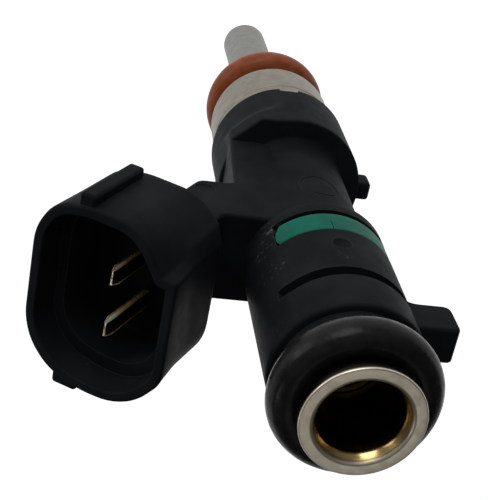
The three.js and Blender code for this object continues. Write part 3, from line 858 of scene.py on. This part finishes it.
def socket_solid(bottom, top, distance, edge_bottom, edge_top, shift=0):
    """Stretch of the socket's form between two heights below the mouth, with round edges."""
    steps = 10
    half = EDGE_STEPS + 1           # levels of one round edge
    levels = edge_levels(bottom, top, edge_bottom)[:half]
    levels += [(bottom + (top - bottom) * k / steps, 0) for k in range(1, steps)]
    levels += edge_levels(bottom, top, edge_top)[half:]
    return loft([socket_section(height, distance + depth, shift) for height, depth in levels])


def rounded_inward(bottom, top, distance, flare):
    """Hollow whose mouth opens out by a small round edge."""
    steps = 8
    levels = [(bottom + (top - bottom) * k / steps, distance) for k in range(steps)]
    levels += [
        (top - flare * (1 - math.sin(a)), distance - flare * (1 - math.cos(a)))
        for a in quarter(EDGE_STEPS)
    ]
    levels += [(top + BEYOND, distance - flare)]
    return loft([socket_section(height, depth) for height, depth in levels])


def groove_outline(bottom, top, radius, corner):
    return rounded([
        (radius, bottom, corner), (GROOVE_OUTSIDE, bottom),
        (GROOVE_OUTSIDE, top), (radius, top, corner),
    ])


def bore(radius, top):
    """Round tool along the axis, from below the skirt up to a height."""
    bottom = SKIRT_BOTTOM - BEYOND
    return lathe([(0, bottom), (radius, bottom), (radius, top), (0, top)])


def body_moulding(material):
    """The whole moulding, joined and cut in steps."""
    made = to_object(body_core())
    rail = block((1.85, RAIL_TOP, -8.4), (3.35, -8.0, -0.25), 0.3, in_socket)
    rib = block((1.4, 7.6, -3.2), (3.85, RIB_TOP, -0.1), 0.3, in_socket)
    shell = socket_solid(-SOCKET_LENGTH, 0, 0, 0.5, 0.28)
    combine(made, "UNION", web_and_neck(), shell, rail, rib)

    clip_steps, band_steps = 150, 140
    clip_groove = ring_sector(
        groove_outline(*CLIP_GROOVE, 0.15),
        lambda height: GROOVE_END - CLIP_RUN_ON, lambda height: 360 - GROOVE_END + CLIP_RUN_ON,
        clip_steps,
    )
    band_groove = ring_sector(
        groove_outline(*BAND_GROOVE, 0.1),
        lambda height: GROOVE_END, lambda height: 360 - GROOVE_END, band_steps,
    )
    # A shallow ejector mark on the side of the neck, a dimple on the barrel, a plain ring on the
    # waist and a notch in the skirt's lower edge.
    ejector = side_drill(1.0, -90, 0, NECK_HALF_WIDTH - 0.09, NECK_HALF_WIDTH + BEYOND)
    bmesh.ops.translate(ejector, vec=(10.95, 0, 58.6), verts=ejector.verts)
    dimple = side_dish(0.95, -89, 71.2, BARREL_RADIUS, 0.42)
    ring_mark = ring_groove(-95, 57.0, 1.9, WAIST_RADIUS, half_width=0.16, depth=0.09)
    notch = block(
        (-0.9, -9, SKIRT_BOTTOM - BEYOND), (1.3, -SKIRT_RADIUS + 0.35, SKIRT_BOTTOM + 0.9), 0.12,
    )
    combine(made, "DIFFERENCE", clip_groove, band_groove, ejector, dimple, ring_mark, notch)

    square_lug = prism(
        SQUARE_LUG, -SQUARE_LUG_HALF_WIDTH, SQUARE_LUG_HALF_WIDTH, upright, 0.32,
    )
    skirt_lug = prism(SKIRT_LUG, -SKIRT_LUG_HALF_WIDTH, SKIRT_LUG_HALF_WIDTH, upright, 0.35)
    combine(made, "UNION", square_lug, skirt_lug)

    mouth_hollow = rounded_inward(-LEDGE_DEPTH, 0, SOCKET_WALL, 0.16)
    deep_hollow = socket_solid(
        -SOCKET_DEPTH, -LEDGE_DEPTH + 0.5, SOCKET_WALL + LEDGE_WIDTH, 0.3, 0.05, HOLLOW_SHIFT,
    )
    combine(
        made, "DIFFERENCE",
        bore(TUBE_BORE, BARREL_TOP + BEYOND), bore(POT_BORE, POT_TOP + 0.1),
        mouth_hollow, deep_hollow,
    )
    return complete(made, "body_shell", material, "injector", "moulded_plastic", "body_moulding")


def colour_band(material):
    """Band snapped into its groove, with round ends. A fine cut crosses its upper half at -Y."""
    tall = BAND_HIGH - BAND_LOW
    inside = 6.1
    around_steps, side_steps = 160, 12
    outline = rounded([
        (inside, BAND_LOW, 0.05), (BAND_RADIUS, BAND_LOW, 0.18),
        *[(BAND_RADIUS, BAND_LOW + tall * k / side_steps) for k in range(2, side_steps - 1)],
        (BAND_RADIUS, BAND_HIGH, 0.18), (inside, BAND_HIGH, 0.05),
    ])

    def round_end(height):
        share = (height - BAND_LOW) / tall
        low_part = max(0, 0.6 - share) / 0.6
        high_part = max(0, share - 0.7) / 0.3
        return PAD_HALF_ANGLE + 1 + 6 * low_part ** 2 + 3 * high_part ** 2

    strip = ring_sector(
        outline, round_end, lambda height: 360 - round_end(height), around_steps,
    )
    # The caps aren't flat, and the boolean needs them as triangles.
    bmesh.ops.triangulate(strip, faces=[face for face in strip.faces if len(face.verts) > 4])
    band = to_object(strip)
    seam = block(
        (-0.05, -8, BAND_LOW + 0.45 * tall), (0.05, -BAND_RADIUS + 0.25, BAND_HIGH + BEYOND), 0.02,
    )
    turn = Matrix.Rotation(math.radians(3.5), 3, "Z")
    bmesh.ops.rotate(seam, cent=(0, 0, 0), matrix=turn, verts=seam.verts)
    combine(band, "DIFFERENCE", seam)
    return complete(band, "green_band", material, "injector", "band_plastic", "colour_band")


# ---------- seals, tube, pot and nozzle ----------

def seal_ring(name, node, material, slot):
    """O-ring with a faint moulding line round its outside."""
    bottom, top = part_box(node)[0] / MM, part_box(node)[1] / MM
    section = (top.z - bottom.z) / 2
    radius = top.x - section
    height = (top.z + bottom.z) / 2
    outline = []
    steps = 48
    line_height, line_angle, line_width = 0.025, math.pi / 4, 0.06
    for k in range(steps):
        angle = 2 * math.pi * k / steps
        ridge = line_height * math.exp(-((angle - line_angle) / line_width) ** 2)
        reach = section + ridge
        outline.append((radius + reach * math.cos(angle), height + reach * math.sin(angle)))
    ring = to_object(lathe(outline, SEAL_SIDES))
    return complete(ring, name, material, "injector", slot, node, sharp=60)


def turned_piece(name, node, material, slot, corners):
    piece = to_object(lathe(rounded(corners)))
    return complete(piece, name, material, "injector", slot, node)


def terminal(name, node, side, material):
    """Bent strip with a coined tip, from the socket down to the coil."""
    thick, tip_thick = 0.6, 0.28
    tip_narrowing = 0.12
    bevel = 0.1
    tip_depth, coin, elbow_depth = 1.4, 0.8, 16.6
    lift = -0.08 * SOCKET_ACROSS.x
    tip = in_socket(lift, 0, -tip_depth)
    coined = in_socket(lift, 0, -tip_depth - coin)
    elbow = in_socket(lift, 0, -elbow_depth)
    coil_end = low(node).z
    line = [
        (tip.x, tip.z, tip_thick), (coined.x, coined.z, thick), (elbow.x, elbow.z, thick),
        (6.4, 57.5, thick), (6.4, 49.2, thick), (3.95, 47, thick), (3.95, coil_end, thick),
    ]
    sections = []
    for i, (x, z, thickness) in enumerate(line):
        here = Vector((x, z))
        before = (here - Vector(line[i - 1][:2])).normalized() if i else None
        last = i == len(line) - 1
        after = None if last else (Vector(line[i + 1][:2]) - here).normalized()
        before = before or after
        after = after or before
        across = Vector((-before.y - after.y, before.x + after.x)).normalized()
        reach = thickness / 2 / across.dot(Vector((-before.y, before.x)))
        width = BLADE_WIDTH / 2 - (tip_narrowing if i == 0 else 0)
        corners = []
        for a, b in ((-1, -1), (1, -1), (1, 1), (-1, 1)):
            for first in ((True, False) if a * b > 0 else (False, True)):
                y = a * (width - (bevel if first else 0))
                t = b * (reach - (0 if first else bevel))
                spot = here + across * t
                corners.append((spot.x, side * BLADE_OFFSET + y, spot.y))
        sections.append(corners)
    blade = to_object(loft(sections))
    return complete(blade, name, material, "injector", "blade_plating", node, sharp=25)


def coil_spring(name, node, material):
    """Round wire wound into a helix between the spring's two seats."""
    bottom, top = low(node).z, high(node).z
    wire = 0.2
    radius = high(node).x - wire
    turns, per_turn, around = 8, 40, 12
    sections = []
    for i in range(turns * per_turn + 1):
        share = i / (turns * per_turn)
        angle = 2 * math.pi * turns * share
        height = bottom + wire + (top - bottom - 2 * wire) * share
        middle = Vector((radius * math.cos(angle), radius * math.sin(angle), height))
        outward = Vector((math.cos(angle), math.sin(angle), 0))
        sections.append([
            middle + outward * wire * math.cos(2 * math.pi * k / around)
            + Vector((0, 0, wire * math.sin(2 * math.pi * k / around)))
            for k in range(around)
        ])
    spring = to_object(loft(sections))
    return complete(spring, name, material, "injector", "spring_steel", node, sharp=60)


# ---------- build ----------

plastic = moulded_plastic()
black_rubber = rubber(
    "oiled_black_rubber", (0.005, 0.005, 0.0055), (0.009, 0.009, 0.0095), 0.22, 0.38,
)
brown_rubber = rubber("oiled_brown_rubber", (0.15, 0.034, 0.011), (0.21, 0.055, 0.02), 0.3, 0.46)
tube_metal = turned_metal(
    "bright_tube", (0.52, 0.465, 0.365), (0.6, 0.54, 0.435), 0.3, 0.38,
    polish=(INLET_FACE - 0.5, INLET_FACE - 0.2),
    stains_and_painted_shade=(
        # Painted shade: the flange's side and the tube below it are darkened nearly to black, a
        # painted reflection of the dark seal.
        ((0.02, 0.018, 0.014), INLET_FACE - 0.3, INLET_FACE - 0.1, 9),
        ((0.4, 0.28, 0.12), INLET_FACE - 0.5, INLET_FACE - 0.05, 4.0),
        # Painted shade deep inside the bore.
        ((0.05, 0.034, 0.014), INLET_FACE - 2.2, INLET_FACE - 1.1, 3.9),
    ),
)
pot_metal = turned_metal("pressed_sleeve", (0.165, 0.15, 0.122), (0.205, 0.19, 0.158), 0.38, 0.5)
nozzle_metal = turned_metal(
    "matt_nozzle", (0.2, 0.198, 0.185), (0.23, 0.228, 0.215), 0.5, 0.58, 0.15,
)
stainless = turned_metal("fine_stainless", (0.5, 0.5, 0.5), (0.64, 0.64, 0.64), 0.22, 0.36)
magnet_steel = turned_metal("magnet_steel", (0.24, 0.25, 0.27), (0.36, 0.37, 0.39), 0.32, 0.46)
ball_steel = turned_metal("polished_ball", (0.66, 0.66, 0.67), (0.76, 0.76, 0.78), 0.06, 0.1, 0.05)
wire_steel = turned_metal("spring_wire", (0.36, 0.36, 0.37), (0.5, 0.5, 0.52), 0.25, 0.36, 0.1)
brass = turned_metal("pressed_brass", (0.5, 0.33, 0.1), (0.68, 0.5, 0.2), 0.26, 0.4)
retainer_nylon = plain_plastic("retainer_nylon", (0.07, 0.065, 0.06), (0.12, 0.11, 0.1))
bobbin_plastic = plain_plastic("bobbin_plastic", (0.04, 0.034, 0.03), (0.07, 0.06, 0.052))
filter_nylon = plain_plastic("filter_nylon", (0.18, 0.14, 0.08), (0.28, 0.22, 0.13))
weave = woven_filter()
copper = wound_copper()
blade_metal = plated_blade()

body_moulding(plastic)
colour_band(band_plastic())
seal_ring("rail_seal", "rail_o_ring", black_rubber, "seal_black")
seal_ring("port_seal", "port_o_ring", brown_rubber, "seal_brown")
FLANGE_BOTTOM = INLET_FACE - 1.7
turned_piece("fuel_tube", "inlet_tube", tube_metal, "tube_steel", [
    (3.25, TUBE_BOTTOM, 0.05), (3.65, TUBE_BOTTOM, 0.1), (3.65, FLANGE_BOTTOM, 0.3),
    (FLANGE_RADIUS, FLANGE_BOTTOM, 0.4), (FLANGE_RADIUS, INLET_FACE, 0.16),
    (4.1, INLET_FACE, 0.45), (3.5, INLET_FACE - 0.8, 0.9), (3.25, INLET_FACE - 2.2, 0.9),
])
POT_LINE = POT_RADIUS - 0.07     # floor of the fine line round the pot
POT_NECKING = SKIRT_BOTTOM - 0.1        # the pot narrows here to go inside the skirt
turned_piece("pot", "solenoid_pot", pot_metal, "pot_steel", [
    (3.7, POT_BOTTOM, 0.1), (5.5, POT_BOTTOM, 1.4), (POT_RADIUS, POT_BOTTOM + 2.6, 2.4),
    (POT_RADIUS, 34.1, 0.1), (POT_LINE, 34.2, 0.1), (POT_LINE, 34.55, 0.1),
    (POT_RADIUS, 34.65, 0.1), (POT_RADIUS, POT_NECKING, 0.15), (6.5, POT_NECKING, 0.05),
    (6.5, POT_TOP, 0.1), (5.7, POT_TOP, 0.1), (5.7, 29.6, 0.2), (3.7, 29.6, 0.1),
])
turned_piece("nozzle", "valve_body", nozzle_metal, "nozzle_steel", [
    (2.4, 0, 0.03), (2.87, 0, 0.35), (2.87, 20.0, 0.4), (GUIDE_RADIUS, 20.4, 0.15),
    (GUIDE_RADIUS, GUIDE_TOP, 0.1), (3.2, GUIDE_TOP, 0.05), (3.2, 21.8, 0.2), (2.4, 20.4, 0.2),
])
turned_piece("seal_retainer", "port_seal_retainer", retainer_nylon, "retainer_plastic", [
    (3.7, 20.5, 0.1), (5.1, 20.5, 0.4), (5.1, 21.75, 0.15), (3.7, 21.75, 0.1),
])
terminal("blade_upper", "terminal_upper", -1, blade_metal)
terminal("blade_lower", "terminal_lower", 1, blade_metal)
coil_spring("needle_spring", "return_spring", wire_steel)

CARRIED = {
    "filter_ring": brass, "filter_frame": filter_nylon, "filter_mesh": weave,
    "adjusting_sleeve": stainless, "fixed_core": magnet_steel, "non_magnetic_ring": stainless,
    "armature": magnet_steel, "needle_tube": stainless, "valve_ball": ball_steel,
    "valve_seat": stainless, "spray_plate": stainless, "solenoid_bobbin": bobbin_plastic,
    "solenoid_winding": copper, "flux_washer": magnet_steel,
}
for node, material in CARRIED.items():
    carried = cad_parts[node]
    carried.data.materials.clear()
    carried.data.materials.append(material)

# ---------- floor, light and camera ----------

# From here on, lengths are in metres.
FLOOR_DROP = 0.02               # the part is held up by its seal, so the floor is clear of the tip
FLOOR_SIZE = 3
centre = (cad_low + cad_high) / 2

floor_bm = bmesh.new()
bmesh.ops.create_grid(floor_bm, x_segments=1, y_segments=1, size=FLOOR_SIZE)
floor = to_object(floor_bm, "floor")
floor.location = (0, 0, cad_low.z - FLOOR_DROP)
pale = Finish("pale_floor")
pale.color(pale.mix(pale.noise(0.02, 2), (0.86, 0.86, 0.86), (0.9, 0.9, 0.9)))
pale.set(Roughness=0.9, Emission_Color=(1, 1, 1, 1), Emission_Strength=0.75)
floor.data.materials.append(pale.material)

CAMERA_BACK = Vector((0.1743, -0.4624, 0.8694))
CAMERA_UP = Vector((0.1029, -0.8695, -0.4831))
CAMERA_POSITION = Vector((0.02672, -0.05290, 0.16095))
SENSOR_WIDTH, FOCAL_LENGTH = 36, 86.08  # in millimetres
CAMERA_SHIFT = (0.0032, -0.0016)
CLIP_NEAR, CLIP_FAR = 0.005, 20
camera_data = bpy.data.cameras.new("camera")
camera_data.sensor_width = SENSOR_WIDTH
camera_data.lens = FOCAL_LENGTH
camera_data.shift_x, camera_data.shift_y = CAMERA_SHIFT
camera_data.clip_start = CLIP_NEAR
camera_data.clip_end = CLIP_FAR
camera = bpy.data.objects.new("camera", camera_data)
bpy.context.scene.collection.objects.link(camera)
right = CAMERA_UP.cross(CAMERA_BACK).normalized()
up = CAMERA_BACK.cross(right).normalized()
turn = Matrix((right, up, CAMERA_BACK.normalized())).transposed()
camera.matrix_world = Matrix.Translation(CAMERA_POSITION) @ turn.to_4x4()
bpy.context.scene.camera = camera


def soft_light(name, direction, distance, size, power):
    """Round area light that faces the part's centre."""
    data = bpy.data.lights.new(name, "AREA")
    data.shape = "DISK"
    data.size = size
    data.energy = power
    light = bpy.data.objects.new(name, data)
    bpy.context.scene.collection.objects.link(light)
    direction = Vector(direction).normalized()
    light.location = centre + direction * distance
    light.rotation_mode = "QUATERNION"
    light.rotation_quaternion = direction.to_track_quat("Z", "Y")


# Name, direction from the part, distance, diameter, and power in watts.
LIGHTS = (
    ("key_light", (0.25, -0.87, 0.3), 0.5, 0.3, 1.15),
    ("side_light", (0.9, -0.4, 0.1), 0.6, 0.3, 0.8),
    ("back_light", (0.7, 0.46, 0.54), 0.6, 0.1, 0.16),
    ("front_light", (-0.17, 0.46, 0.87), 0.7, 0.45, 0.28),
)
for row in LIGHTS:
    soft_light(*row)

# The surroundings are brighter on one side.
BRIGHT_SIDE = (0.35, -0.92, 0.18)
FADE = {"From Min": -0.1, "From Max": 1.0, "To Min": 0.08, "To Max": 0.35}
SKY = (0.94, 0.97, 1.0, 1)
world = bpy.data.worlds.new("studio")
world.use_nodes = True
nodes, links = world.node_tree.nodes, world.node_tree.links
directions = nodes.new("ShaderNodeTexCoord")
toward = nodes.new("ShaderNodeVectorMath")
toward.operation = "DOT_PRODUCT"
toward.inputs[1].default_value = BRIGHT_SIDE
links.new(directions.outputs["Generated"], toward.inputs[0])
fade = nodes.new("ShaderNodeMapRange")
fade.interpolation_type = "SMOOTHSTEP"
for name, number in FADE.items():
    fade.inputs[name].default_value = number
links.new(toward.outputs["Value"], fade.inputs["Value"])
nodes["Background"].inputs["Color"].default_value = SKY
links.new(fade.outputs["Result"], nodes["Background"].inputs["Strength"])
bpy.context.scene.world = world
bpy.context.scene.view_settings.view_transform = "Standard"
